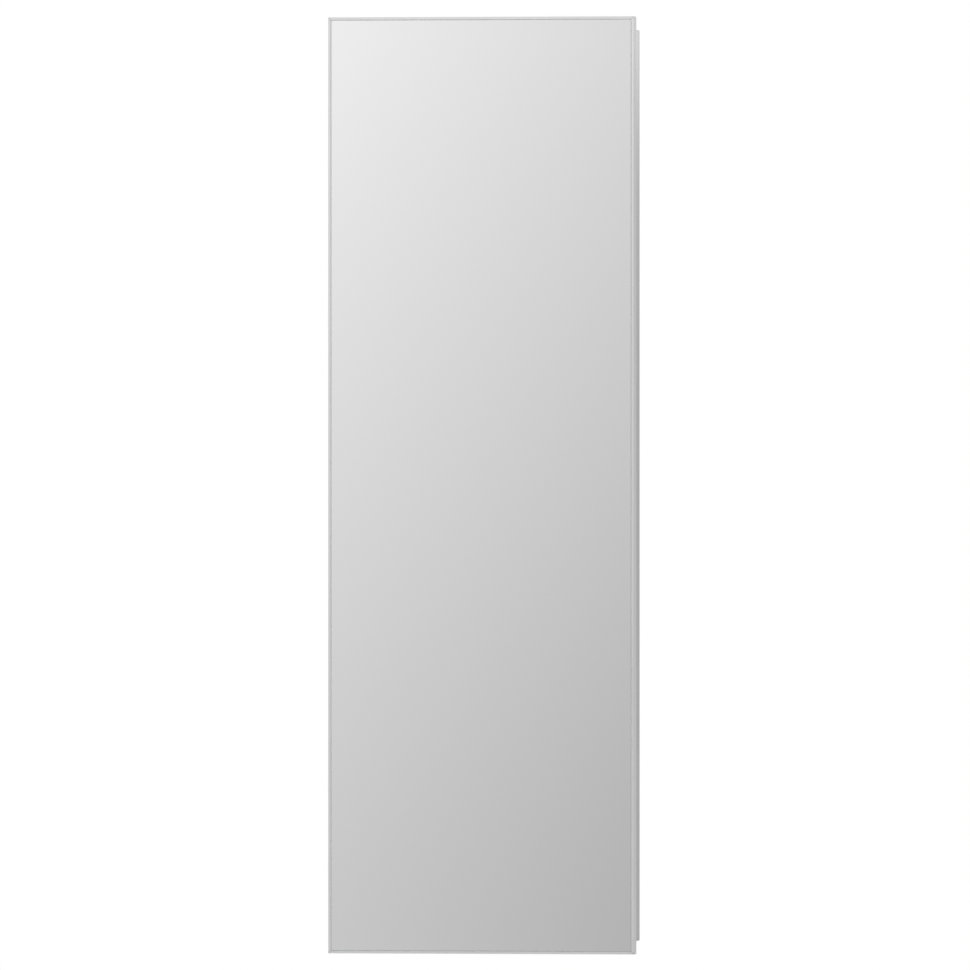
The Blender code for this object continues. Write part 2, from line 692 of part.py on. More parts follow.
def build_door_frame(materials, parts):
    names = ("frame_left", "frame_top", "frame_right", "frame_bottom")
    rear = -DOOR_BACK_Y
    front = -DOOR_FRONT_Y
    edge = FRAME_EDGE_RADIUS
    outline = [
        *arc((edge, rear + edge), edge, 180, 90),
        (FRAME_LIP, rear),
        (FRAME_LIP, rear + FRAME_LIP_SHEET),
        (FRAME_WEB, rear + FRAME_LIP_SHEET),
        (FRAME_WEB, front),
        *arc((edge, front - edge), edge, 90, 90),
    ]
    metal = materials["frame_metal"]
    return mitred_frame(names, outline, DOOR_HALF_WIDTH, DOOR_HALF_HEIGHT, metal, parts)


def build_front_mirror(materials, parts):
    """The face mirror, with a ground arris round its front edge."""
    size = Vector((2 * PANE_HALF_WIDTH, FRONT_MIRROR, 2 * PANE_HALF_HEIGHT))
    bm = bmesh.new()
    bmesh.ops.create_cube(bm, size=1.0)
    bmesh.ops.scale(bm, vec=size, verts=bm.verts)
    front = [face for face in bm.faces if face.normal.y < -0.5]
    rim = list(front[0].verts)
    bmesh.ops.inset_individual(bm, faces=front, thickness=MIRROR_ARRIS, depth=0.0)
    bmesh.ops.translate(bm, vec=(0.0, MIRROR_ARRIS, 0.0), verts=rim)
    mesh = mesh_of(bm, "front_mirror")
    matrix = Matrix.Translation((0.0, DOOR_FRONT_Y + FRONT_MIRROR / 2, 0.0))
    return place("front_mirror", mesh, materials["mirror"], parts, matrix)


def build_door_panels(materials, parts):
    core_rear = DOOR_BACK_Y - FRAME_LIP_SHEET - JOINT_GAP
    core_front = DOOR_FRONT_Y + FRONT_MIRROR + JOINT_GAP
    low = (-PANE_HALF_WIDTH, core_front, -PANE_HALF_HEIGHT)
    high = (PANE_HALF_WIDTH, core_rear, PANE_HALF_HEIGHT)
    core = block("door_core", low, high, materials["door_board"], parts)
    window_x = DOOR_HALF_WIDTH - FRAME_LIP - JOINT_GAP
    window_z = DOOR_HALF_HEIGHT - FRAME_LIP - JOINT_GAP
    low = (-window_x, DOOR_BACK_Y - REAR_MIRROR, -window_z)
    high = (window_x, DOOR_BACK_Y, window_z)
    return [core, block("rear_mirror", low, high, materials["mirror"], parts)]


def build_catches(materials, parts):
    """Two magnets in the body's right flange, and the plates on the door that they hold."""
    head = (DOOR_GAP - JOINT_GAP) / 2 - JOINT_GAP
    profile = [
        (0.0, head),
        (MAGNET_HEAD_RADIUS - head / 3, head),
        (MAGNET_HEAD_RADIUS, head * 2 / 3),
        (MAGNET_HEAD_RADIUS, 0.0),
        (MAGNET_RADIUS, 0.0),
        (MAGNET_RADIUS, -MAGNET_LENGTH),
        (0.0, -MAGNET_LENGTH),
    ]
    plate = [
        (0.0, 0.0),
        (MAGNET_HEAD_RADIUS, 0.0),
        (MAGNET_HEAD_RADIUS, head * 2 / 3),
        (MAGNET_HEAD_RADIUS - head / 3, head),
        (0.0, head),
    ]
    plate = [(radius, -height) for radius, height in plate]
    doors = []
    for side, level in ((1, "top"), (-1, "bottom")):
        at = (FLANGE_MIDDLE_X, FRONT_Y - JOINT_GAP, side * MAGNET_HEIGHT)
        white = materials["white_plastic"]
        turned(f"catch_magnet_{level}", profile, ROUND_STEPS, white, parts, facing_front(*at))
        at = (FLANGE_MIDDLE_X, DOOR_BACK_Y + JOINT_GAP, side * MAGNET_HEIGHT)
        steel = materials["zinc_steel"]
        name = f"strike_plate_{level}"
        doors.append(turned(name, plate, ROUND_STEPS, steel, parts, facing_front(*at)))
    return doors


def build_bumpers(materials, parts):
    """Soft pads on the door's free side, which meet the body's flange."""
    thick = DOOR_GAP - 2 * JOINT_GAP
    profile = [(0.0, 0.0), (BUMPER_RADIUS, 0.0)]
    for i in range(1, 5):
        angle = i * math.pi / 10
        radius = BUMPER_RADIUS * (0.45 + 0.55 * math.cos(angle))
        profile.append((radius, -thick * math.sin(angle)))
    profile.append((0.0, -thick))
    made = []
    for side, level in ((1, "top"), (-1, "bottom")):
        at = (FLANGE_MIDDLE_X, DOOR_BACK_Y + JOINT_GAP, side * BUMPER_HEIGHT)
        name = f"bumper_{level}"
        rubber = materials["bumper_rubber"]
        made.append(turned(name, profile, ROUND_STEPS, rubber, parts, facing_front(*at)))
    return made


def hang_door(pieces, parts):
    """Parents the door's pieces to an empty on the hinge axis, so turning it opens the door."""
    axis = bpy.data.objects.new("door_axis", None)
    axis.empty_display_size = 0.05
    axis.location = (PIN_X, PIN_Y, 0.0)
    parts.objects.link(axis)
    bpy.context.view_layer.update()
    for piece in pieces:
        piece.parent = axis
        piece.matrix_parent_inverse = axis.matrix_world.inverted()


def main():
    clear_scene()
    parts = make_collection("mirror_cabinet")
    cutters = make_collection("cutters")
    materials = make_materials()
    build_walls(materials, parts, cutters)
    build_corners(materials, parts)
    build_back(materials, parts, cutters)
    build_brace(materials, parts)
    build_hanging(materials, parts, cutters)
    build_strips(materials, parts, cutters)
    build_shelves(materials, parts)
    build_leaf("hinge_leaf_body", 1, 1, materials, parts, cutters)
    build_pin(materials, parts)
    door = [build_leaf("hinge_leaf_door", -1, 0, materials, parts, cutters)]
    door += build_door_frame(materials, parts)
    door.append(build_front_mirror(materials, parts))
    door += build_door_panels(materials, parts)
    door += build_catches(materials, parts)
    door += build_bumpers(materials, parts)
    hang_door(door, parts)
    for material in materials.values():
        bpy.data.materials.remove(material)


main()
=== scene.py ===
"""Looks of the tall wall-hung mirror cabinet: finishes, fixings, shelf glass and the studio stage.

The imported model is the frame, in metres, +Z up, with the front facing -Y. Each operator dresses one
kind of piece; main() runs them in order, and the sidebar panel lists them.
"""

import json
import math
import random

import bmesh
import bpy
from bpy.props import FloatProperty, FloatVectorProperty, IntProperty, PointerProperty
from mathutils import Matrix, Vector


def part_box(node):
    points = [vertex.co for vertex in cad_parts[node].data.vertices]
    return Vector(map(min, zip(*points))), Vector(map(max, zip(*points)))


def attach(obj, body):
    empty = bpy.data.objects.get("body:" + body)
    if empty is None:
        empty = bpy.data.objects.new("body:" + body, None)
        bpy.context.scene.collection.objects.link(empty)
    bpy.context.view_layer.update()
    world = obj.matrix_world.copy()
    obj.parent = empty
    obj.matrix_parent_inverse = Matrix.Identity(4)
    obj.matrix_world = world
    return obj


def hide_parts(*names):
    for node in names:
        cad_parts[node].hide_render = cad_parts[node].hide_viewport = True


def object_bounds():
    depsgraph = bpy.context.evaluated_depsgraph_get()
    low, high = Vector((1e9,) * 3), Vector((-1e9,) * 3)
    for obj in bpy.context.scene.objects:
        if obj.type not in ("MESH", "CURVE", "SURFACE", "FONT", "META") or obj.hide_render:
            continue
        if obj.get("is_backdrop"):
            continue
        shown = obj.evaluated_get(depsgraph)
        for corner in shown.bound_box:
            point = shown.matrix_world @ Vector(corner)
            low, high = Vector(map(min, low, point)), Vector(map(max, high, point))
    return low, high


bl_info = {
    "name": "Mirror Cabinet Looks",
    "version": (1, 0, 0),
    "blender": (4, 5, 0),
    "location": "View3D > Sidebar > Cabinet",
    "description": "Finishes, fixings, shelf glass and stage for a tall wall-hung mirror cabinet",
    "category": "Object",
}

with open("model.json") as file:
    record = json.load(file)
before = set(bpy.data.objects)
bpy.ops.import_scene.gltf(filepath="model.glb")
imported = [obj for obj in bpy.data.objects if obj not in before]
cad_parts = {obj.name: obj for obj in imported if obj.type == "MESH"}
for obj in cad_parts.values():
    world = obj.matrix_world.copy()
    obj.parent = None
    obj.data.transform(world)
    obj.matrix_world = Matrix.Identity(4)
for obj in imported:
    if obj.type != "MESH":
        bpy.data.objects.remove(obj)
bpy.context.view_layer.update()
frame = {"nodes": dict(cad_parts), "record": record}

MM = 0.001
FRONT = Vector((0.0, -1.0, 0.0))
BACK = Vector((0.0, 1.0, 0.0))
UP = Vector((0.0, 0.0, 1.0))
RIGHT = Vector((1.0, 0.0, 0.0))
ROUND_STEPS = 32
SHARP_ANGLE = math.radians(40)
NOISE_SPAN = (0.3, 0.7)  # where nearly all of a noise's values lie


# Settings a user would change


def colour_property(name, description, default):
    return FloatVectorProperty(
        name=name, description=description, default=default, size=3, subtype="COLOR", min=0, max=1
    )


def length_property(name, description, default):
    return FloatProperty(
        name=name, description=description, default=default, unit="LENGTH", precision=5, min=0
    )


class CabinetFinishes(bpy.types.PropertyGroup):
    paint: colour_property("Paint", "Powder coat of the folded body", (0.56, 0.56, 0.56))
    frame_metal: colour_property("Frame", "Bright metal round the door", (0.84, 0.84, 0.84))
    silver: colour_property("Silver", "Colour that the mirrors give back", (0.92, 0.92, 0.92))
    ground_edge: colour_property("Ground edge", "Arris round each mirror", (0.61, 0.63, 0.625))
    strips: colour_property("Strips", "Anodised shelf strips", (0.66, 0.66, 0.67))
    stainless: colour_property("Stainless", "Long hinge", (0.60, 0.59, 0.58))
    zinc: colour_property("Zinc", "Plated hangers, rail and corners", (0.56, 0.565, 0.575))
    board: colour_property("Board", "Sealed core of the door", (0.74, 0.72, 0.68))
    clear: colour_property("Clear moulding", "Shelf clips", (0.84, 0.86, 0.86))
    white: colour_property("White moulding", "Covers and catches", (0.80, 0.80, 0.79))
    rubber: colour_property("Rubber", "Bumpers and sealing bead", (0.46, 0.46, 0.45))


class CabinetFixings(bpy.types.PropertyGroup):
    rivet_radius: length_property("Rivet radius", "Head of a rivet", 2.5 * MM)
    rivet_height: length_property("Rivet height", "How far its head stands up", 0.8 * MM)
    screw_radius: length_property("Screw radius", "Head of a small screw", 2.8 * MM)
    screw_height: length_property("Screw height", "How far its head stands up", 1.5 * MM)
    hinge_rivets: IntProperty(
        name="Hinge rivets", description="Rivets in each hinge leaf", default=11, min=2
    )
    bead_radius: length_property("Bead radius", "Sealing bead round the rear mirror", 0.6 * MM)


class CabinetStage(bpy.types.PropertyGroup):
    azimuth: FloatProperty(
        name="Azimuth",
        description="How far right of the front the camera stands",
        default=math.radians(7.2),
        subtype="ANGLE",
    )
    distance: length_property("Distance", "Camera to the middle of the cabinet", 15.0)
    view_height: length_property("View height", "Height that fills the frame", 0.9482)
    floor_drop: length_property("Floor drop", "Cabinet's foot to the floor", 0.35)
    floor_colour: colour_property("Floor", "Pale floor", (0.86, 0.86, 0.86))
    fill: FloatProperty(name="Fill", description="Light from all round", default=0.56, min=0)


# Node tools


def add_node(tree, kind, values=None, **settings):
    """A node whose inputs are set from a dictionary, by value or by a link from a socket."""
    node = tree.nodes.new(kind)
    for name, value in settings.items():
        setattr(node, name, value)
    for key, value in (values or {}).items():
        if isinstance(value, bpy.types.NodeSocket):
            tree.links.new(value, node.inputs[key])
        else:
            node.inputs[key].default_value = value
    return node


def calculate(tree, operation, first, second=0.0, clamp=False):
    values = {0: first, 1: second}
    node = add_node(tree, "ShaderNodeMath", values, operation=operation, use_clamp=clamp)
    return node.outputs[0]


def remap(tree, value, low, high, new_low, new_high):
    ends = {0: value, 1: low, 2: high, 3: new_low, 4: new_high}
    return add_node(tree, "ShaderNodeMapRange", ends).outputs[0]


def mix_colours(tree, factor, first, second):
    values = {0: factor, 6: first, 7: second}
    return add_node(tree, "ShaderNodeMix", values, data_type="RGBA").outputs[2]


def mix_values(tree, factor, first, second):
    return add_node(tree, "ShaderNodeMix", {0: factor, 2: first, 3: second}).outputs[0]


def noise(tree, vector, scale, detail, distortion=0.0):
    values = {"Vector": vector, "Scale": scale, "Detail": detail, "Distortion": distortion}
    return add_node(tree, "ShaderNodeTexNoise", values).outputs["Fac"]


def object_place(tree):
    return add_node(tree, "ShaderNodeTexCoord").outputs["Object"]


def scaled(colour, factor):
    return solid(Vector(colour) * factor)


def solid(colour):
    return (*colour, 1.0)


def new_group(name, inputs, outputs):
    """An empty shader group with named sockets; inputs are (name, socket kind, default)."""
    group = bpy.data.node_groups.new(name, "ShaderNodeTree")
    for label, kind, default in inputs:
        socket = group.interface.new_socket(name=label, in_out="INPUT", socket_type=kind)
        socket.default_value = default
    for label, kind in outputs:
        group.interface.new_socket(name=label, in_out="OUTPUT", socket_type=kind)
    source = group.nodes.new("NodeGroupInput")
    sink = group.nodes.new("NodeGroupOutput")
    return group, source.outputs, sink.inputs


def grain_group():
    """Noise over the piece, stretched along an axis, between two values."""
    inputs = [
        ("Scale", "NodeSocketFloat", 40.0),
        ("Detail", "NodeSocketFloat", 4.0),
        ("Stretch", "NodeSocketVector", (1.0, 1.0, 1.0)),
        ("Low", "NodeSocketFloat", 0.0),
        ("High", "NodeSocketFloat", 1.0),
    ]
    group, given, out = new_group("grain", inputs, [("Value", "NodeSocketFloat")])
    factors = {0: object_place(group), 1: given["Stretch"]}
    stretched = add_node(group, "ShaderNodeVectorMath", factors, operation="MULTIPLY").outputs[0]
    cloud = noise(group, stretched, given["Scale"], given["Detail"])
    value = remap(group, cloud, *NOISE_SPAN, given["Low"], given["High"])
    group.links.new(value, out["Value"])
    return group


def handling_group():
    """Faint wiped patches, as hands and a cloth leave them."""
    inputs = [("Scale", "NodeSocketFloat", 9.0), ("Coverage", "NodeSocketFloat", 0.4)]
    group, given, out = new_group("handling_marks", inputs, [("Mask", "NodeSocketFloat")])
    place = object_place(group)
    broad = noise(group, place, given["Scale"], 2.0, distortion=0.8)
    streak_scale = calculate(group, "MULTIPLY", given["Scale"], 9.0)
    streaks = noise(group, place, streak_scale, 3.0, distortion=2.0)
    edge = calculate(group, "SUBTRACT", 1.0, given["Coverage"])
    start = calculate(group, "MULTIPLY", edge, 0.75)
    patches = remap(group, broad, start, edge, 0.0, 1.0)
    mask = calculate(group, "MULTIPLY", patches, streaks, clamp=True)
    group.links.new(mask, out["Mask"])
    return group


def edge_group():
    """Where an outside corner is rubbed: a rounded normal against the true one, broken by noise."""
    inputs = [("Radius", "NodeSocketFloat", 0.5 * MM), ("Scale", "NodeSocketFloat", 120.0)]
    group, given, out = new_group("edge_wear", inputs, [("Mask", "NodeSocketFloat")])
    rounded = add_node(group, "ShaderNodeBevel", {"Radius": given["Radius"]}, samples=4)
    true = add_node(group, "ShaderNodeNewGeometry").outputs["True Normal"]
    pair = {0: rounded.outputs[0], 1: true}
    align = add_node(group, "ShaderNodeVectorMath", pair, operation="DOT_PRODUCT").outputs["Value"]
    chips = noise(group, object_place(group), given["Scale"], 3.0)
    turned = remap(group, align, 0.97, 0.80, 0.0, 1.0)
    broken = remap(group, chips, 0.40, 0.60, 0.25, 1.0)
    group.links.new(calculate(group, "MULTIPLY", turned, broken, clamp=True), out["Mask"])
    return group


def dust_group():
    """A thin film on faces that look up."""
    inputs = [("Amount", "NodeSocketFloat", 0.3), ("Scale", "NodeSocketFloat", 60.0)]
    group, given, out = new_group("settled_dust", inputs, [("Mask", "NodeSocketFloat")])
    normal = add_node(group, "ShaderNodeNewGeometry").outputs["Normal"]
    height = add_node(group, "ShaderNodeSeparateXYZ", {0: normal}).outputs["Z"]
    level = remap(group, height, 0.6, 1.0, 0.0, 1.0)
    specks = noise(group, object_place(group), given["Scale"], 6.0)
    film = remap(group, specks, *NOISE_SPAN, 0.3, 1.0)
    settled = calculate(group, "MULTIPLY", level, film)
    mask = calculate(group, "MULTIPLY", settled, given["Amount"])
    group.links.new(mask, out["Mask"])
    return group


GROUP_MAKERS = {
    "grain": grain_group,
    "handling_marks": handling_group,
    "edge_wear": edge_group,
    "settled_dust": dust_group,
}


def effect(tree, name, output, **values):
    """A shared effect placed in a material, built the first time it is asked for."""
    group = bpy.data.node_groups.get(name) or GROUP_MAKERS[name]()
    node = tree.nodes.new("ShaderNodeGroup")
    node.node_tree = group
    for key, value in values.items():
        node.inputs[key].default_value = value
    return node.outputs[output]


def new_finish(name, **constants):
    """A material with its Principled shader; constants are set straight on the shader's sockets."""
    material = bpy.data.materials.new(name)
    material.use_nodes = True
    tree = material.node_tree
    shader = tree.nodes["Principled BSDF"]
    for label, value in constants.items():
        shader.inputs[label.replace("_", " ")].default_value = value
    return material, tree, shader


def relief(tree, shader, height, distance, strength=1.0):
    values = {"Height": height, "Distance": distance, "Strength": strength}
    bump = add_node(tree, "ShaderNodeBump", values)
    tree.links.new(bump.outputs["Normal"], shader.inputs["Normal"])


# Finishes


def powder_coat(finishes):
    """Satin paint with a fine orange-peel skin, rubbed at the folds and a little dusty on top."""
    material, tree, shader = new_finish("body_powder_coat", Specular_IOR_Level=0.5)
    paint = finishes.paint
    tone = effect(tree, "grain", "Value", Scale=6.0, Detail=3.0)
    shade = mix_colours(tree, tone, scaled(paint, 0.985), scaled(paint, 1.015))
    wear = effect(tree, "edge_wear", "Mask", Radius=0.6 * MM, Scale=150.0)
    shade = mix_colours(tree, calculate(tree, "MULTIPLY", wear, 0.35), shade, scaled(paint, 1.18))
    dust = effect(tree, "settled_dust", "Mask", Amount=0.22, Scale=45.0)
    shade = mix_colours(tree, dust, shade, solid((0.70, 0.69, 0.67)))
    tree.links.new(shade, shader.inputs["Base Color"])
    marks = effect(tree, "handling_marks", "Mask", Scale=7.0, Coverage=0.45)
    satin = effect(tree, "grain", "Value", Scale=25.0, Detail=4.0, Low=0.33, High=0.41)
    rough = calculate(tree, "ADD", satin, calculate(tree, "MULTIPLY", marks, 0.10))
    rough = calculate(tree, "ADD", rough, calculate(tree, "MULTIPLY", dust, 0.6), clamp=True)
    tree.links.new(rough, shader.inputs["Roughness"])
    skin = effect(tree, "grain", "Value", Scale=700.0, Detail=1.5)
    relief(tree, shader, skin, 0.004 * MM)
    return material


def mirror_glass(finishes):
    """Silvered glass with a ground arris; wiping leaves the faintest haze on its face."""
    material, tree, shader = new_finish("mirror_silver")
    tint = effect(tree, "grain", "Value", Scale=2.5, Detail=1.0)
    face = mix_colours(tree, tint, scaled(finishes.silver, 0.997), solid(finishes.silver))
    grit = effect(tree, "grain", "Value", Scale=1200.0, Detail=2.0)
    ground = finishes.ground_edge
    edge = mix_colours(tree, grit, scaled(ground, 0.90), scaled(ground, 1.08))
    # The pane's own normal, so the arris stays where it is when the door turns
    normal = add_node(tree, "ShaderNodeTexCoord").outputs["Normal"]
    forward = add_node(tree, "ShaderNodeSeparateXYZ", {0: normal}).outputs["Y"]
    silvered = calculate(tree, "GREATER_THAN", calculate(tree, "ABSOLUTE", forward), 0.95)
    tree.links.new(mix_colours(tree, silvered, edge, face), shader.inputs["Base Color"])
    tree.links.new(silvered, shader.inputs["Metallic"])
    marks = effect(tree, "handling_marks", "Mask", Scale=11.0, Coverage=0.35)
    polish = calculate(tree, "ADD", calculate(tree, "MULTIPLY", marks, 0.035), 0.010)
    tree.links.new(mix_values(tree, silvered, 0.35, polish), shader.inputs["Roughness"])
    return material


def brushed_metal(
    name, colour, direction, roughness, streak=0.08, depth=0.004 * MM, wear=0.3, metallic=1.0
):
    """Metal with fine parallel lines; direction stretches the grain along the lines."""
    material, tree, shader = new_finish(name, Metallic=metallic)
    lines = effect(tree, "grain", "Value", Scale=900.0, Detail=3.0, Stretch=direction)
    shade = mix_colours(tree, lines, scaled(colour, 1.0 - streak), solid(colour))
    rubbed = effect(tree, "edge_wear", "Mask", Radius=0.4 * MM, Scale=200.0)
    bright = solid(min(channel * 1.15, 1.0) for channel in colour)
    shade = mix_colours(tree, calculate(tree, "MULTIPLY", rubbed, wear), shade, bright)
    tree.links.new(shade, shader.inputs["Base Color"])
    marks = effect(tree, "handling_marks", "Mask", Scale=14.0, Coverage=0.45)
    varied = effect(
        tree, "grain", "Value", Scale=500.0, Detail=2.0, Stretch=direction,
        Low=roughness * 0.85, High=roughness * 1.15,
    )
    rough = calculate(tree, "ADD", varied, calculate(tree, "MULTIPLY", marks, 0.12), clamp=True)
    tree.links.new(rough, shader.inputs["Roughness"])
    relief(tree, shader, lines, depth)
    return material


def zinc_plate(finishes):
    """Plated steel: small cloudy crystals and a soft, uneven sheen."""
    material, tree, shader = new_finish("zinc_plate", Metallic=1.0)
    cells = {"Vector": object_place(tree), "Scale": 260.0, "Randomness": 1.0}
    spangle = add_node(tree, "ShaderNodeTexVoronoi", cells).outputs["Color"]
    flake = add_node(tree, "ShaderNodeSeparateColor", {0: spangle}).outputs[0]
    cloud = effect(tree, "grain", "Value", Scale=35.0, Detail=5.0)
    mixed = calculate(tree, "ADD", calculate(tree, "MULTIPLY", flake, 0.35), cloud)
    shade = mix_colours(tree, mixed, scaled(finishes.zinc, 0.86), scaled(finishes.zinc, 1.06))
    wear = effect(tree, "edge_wear", "Mask", Radius=0.4 * MM, Scale=180.0)
    bare = solid((0.74, 0.74, 0.75))
    shade = mix_colours(tree, calculate(tree, "MULTIPLY", wear, 0.5), shade, bare)
    tree.links.new(shade, shader.inputs["Base Color"])
    rough = remap(tree, calculate(tree, "ADD", flake, cloud), 0.0, 2.0, 0.30, 0.50)
    tree.links.new(rough, shader.inputs["Roughness"])
    relief(tree, shader, cloud, 0.006 * MM)
    return material


def clear_float_glass():
    """Nearly colourless glass with a little dust and the haze of handling."""
    material, tree, shader = new_finish(
        "shelf_glass_clear", Transmission_Weight=1.0, IOR=1.52, Metallic=0.0
    )
    tint = effect(tree, "grain", "Value", Scale=3.0, Detail=1.0)
    greenest, clearest = solid((0.955, 0.985, 0.972)), solid((0.965, 0.990, 0.980))
    tree.links.new(mix_colours(tree, tint, greenest, clearest), shader.inputs["Base Color"])
    marks = effect(tree, "handling_marks", "Mask", Scale=16.0, Coverage=0.4)
    dust = effect(tree, "settled_dust", "Mask", Amount=0.06, Scale=80.0)
    haze = calculate(tree, "ADD", calculate(tree, "MULTIPLY", marks, 0.05), dust)
    tree.links.new(calculate(tree, "ADD", haze, 0.012), shader.inputs["Roughness"])
    return material


def green_glass_edge():
    """Polished edge, where the light has come a long way through the glass."""
    material, tree, shader = new_finish(
        "shelf_glass_edge", Transmission_Weight=0.75, IOR=1.52, Metallic=0.0
    )
    depth = effect(tree, "grain", "Value", Scale=30.0, Detail=2.0, Stretch=(0.2, 0.2, 1.0))
    deep, pale = solid((0.30, 0.55, 0.45)), solid((0.44, 0.70, 0.59))
    tree.links.new(mix_colours(tree, depth, deep, pale), shader.inputs["Base Color"])
    polish = effect(tree, "grain", "Value", Scale=400.0, Detail=2.0, Low=0.05, High=0.16)
    tree.links.new(polish, shader.inputs["Roughness"])
    return material


def sealed_board(finishes):
    """Dense fibre board with a pale sealing coat over its edges."""
    material, tree, shader = new_finish("door_board_sealed")
    fibres = effect(tree, "grain", "Value", Scale=900.0, Detail=5.0, Stretch=(1.0, 2.5, 1.0))
    blotch = effect(tree, "grain", "Value", Scale=18.0, Detail=3.0)
    mixed = calculate(tree, "MULTIPLY", fibres, blotch)
    shade = mix_colours(tree, mixed, scaled(finishes.board, 0.84), scaled(finishes.board, 1.05))
    tree.links.new(shade, shader.inputs["Base Color"])
    rough = effect(tree, "grain", "Value", Scale=90.0, Detail=3.0, Low=0.48, High=0.66)
    tree.links.new(rough, shader.inputs["Roughness"])
    relief(tree, shader, fibres, 0.03 * MM)
    return material


def moulded(name, colour, roughness, clearness=0.0, milkiness=0.0):
    """Moulded plastic: a fine spark texture, a soft rub on the corners and a little dust."""
    material, tree, shader = new_finish(
        name, Transmission_Weight=clearness, Subsurface_Weight=milkiness,
        Subsurface_Scale=1.5 * MM, IOR=1.49, Metallic=0.0,
    )
    tone = effect(tree, "grain", "Value", Scale=50.0, Detail=3.0)
    shade = mix_colours(tree, tone, scaled(colour, 0.97), scaled(colour, 1.02))
    wear = effect(tree, "edge_wear", "Mask", Radius=0.3 * MM, Scale=160.0)
    shade = mix_colours(tree, calculate(tree, "MULTIPLY", wear, 0.25), shade, scaled(colour, 1.12))
    dust = effect(tree, "settled_dust", "Mask", Amount=0.18, Scale=70.0)
    shade = mix_colours(tree, dust, shade, solid((0.66, 0.65, 0.63)))
    tree.links.new(shade, shader.inputs["Base Color"])
    rough = effect(
        tree, "grain", "Value", Scale=260.0, Detail=2.0, Low=roughness * 0.88, High=roughness * 1.12
    )
    tree.links.new(rough, shader.inputs["Roughness"])
    spark = effect(tree, "grain", "Value", Scale=1500.0, Detail=2.0)
    relief(tree, shader, spark, 0.012 * MM)
    return material


def soft_rubber(finishes):
    """Dull rubber with fine pores, which holds the dust."""
    material, tree, shader = new_finish("bumper_rubber", Specular_IOR_Level=0.35)
    tone = effect(tree, "grain", "Value", Scale=160.0, Detail=4.0)
    shade = mix_colours(tree, tone, scaled(finishes.rubber, 0.90), scaled(finishes.rubber, 1.05))
    dust = effect(tree, "settled_dust", "Mask", Amount=0.4, Scale=90.0)
    shade = mix_colours(tree, dust, shade, solid((0.60, 0.60, 0.58)))
    tree.links.new(shade, shader.inputs["Base Color"])
    rough = effect(tree, "grain", "Value", Scale=220.0, Detail=3.0, Low=0.60, High=0.78)
    tree.links.new(rough, shader.inputs["Roughness"])
    pores = effect(tree, "grain", "Value", Scale=1100.0, Detail=3.0)
    relief(tree, shader, pores, 0.02 * MM)
    return material


FINISHES = {}


def make_finishes(finishes):
    """Every finish of the cabinet, by the record's slot name."""
    upright = (1.0, 1.0, 0.02)
    level = (0.02, 1.0, 1.0)
    # The door frame is anodised, so a little of its light comes back from the oxide, not the metal
    anodised = {"streak": 0.03, "depth": 0.001 * MM, "wear": 0.15, "metallic": 0.85}
    FINISHES.update(
        body_paint=powder_coat(finishes),
        frame_metal=brushed_metal(
            "bright_frame_upright", finishes.frame_metal, upright, 0.28, **anodised
        ),
        frame_metal_level=brushed_metal(
            "bright_frame_level", finishes.frame_metal, level, 0.28, **anodised
        ),
        mirror=mirror_glass(finishes),
        shelf_glass=clear_float_glass(),
        shelf_edge=green_glass_edge(),
        door_board=sealed_board(finishes),
        strip_metal=brushed_metal("anodised_strip", finishes.strips, upright, 0.34, streak=0.07),
        hinge_steel=brushed_metal(
            "hinge_stainless", finishes.stainless, upright, 0.26, streak=0.10
        ),
        zinc_steel=zinc_plate(finishes),
        clear_plastic=moulded("clear_moulding", finishes.clear, 0.22, clearness=0.55),
        white_plastic=moulded("white_moulding", finishes.white, 0.42, milkiness=0.15),
        bumper_rubber=soft_rubber(finishes),
    )


# Shape tools


def finish_mesh(bm, name):
    mesh = bpy.data.meshes.new(name)
    bmesh.ops.recalc_face_normals(bm, faces=bm.faces)
    bm.to_mesh(mesh)
    bm.free()
    mesh.shade_smooth()
    mesh.set_sharp_from_angle(angle=SHARP_ANGLE)
    return mesh


def new_piece(name, mesh, body, slot, *finishes):
    """A visible piece that rides on a body and takes its finish from a record slot."""
    piece = bpy.data.objects.new(name, mesh)
    bpy.context.scene.collection.objects.link(piece)
    for finish in finishes or (FINISHES[slot],):
        mesh.materials.append(finish)
    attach(piece, body)
    return piece


def circle(radius, steps):
    angles = [2 * math.pi * i / steps for i in range(steps)]
    return [(radius * math.cos(angle), radius * math.sin(angle)) for angle in angles]


def bevel(bm, edges, width, segments):
    bmesh.ops.bevel(bm, geom=edges, offset=width, segments=segments, profile=0.5, affect="EDGES")


def add_block(bm, middle, size):
    matrix = Matrix.Translation(middle) @ Matrix.Diagonal((*size, 1.0))
    bmesh.ops.create_cube(bm, size=1.0, matrix=matrix)


def lathe(bm, profile, steps=ROUND_STEPS):
    """Turns a (radius, height) profile that starts and ends on the axis into a closed form."""
    rings = []
    for radius, height in profile:
        if radius == 0.0:
            rings.append([bm.verts.new((0.0, 0.0, height))])
            continue
        rings.append([bm.verts.new((x, y, height)) for x, y in circle(radius, steps)])
    for lower, upper in zip(rings, rings[1:]):
        for i in range(steps):
            j = (i + 1) % steps
            corners = [lower[i % len(lower)], lower[j % len(lower)]]
            corners += [upper[j % len(upper)], upper[i % len(upper)]]
            bm.faces.new(list(dict.fromkeys(corners)))


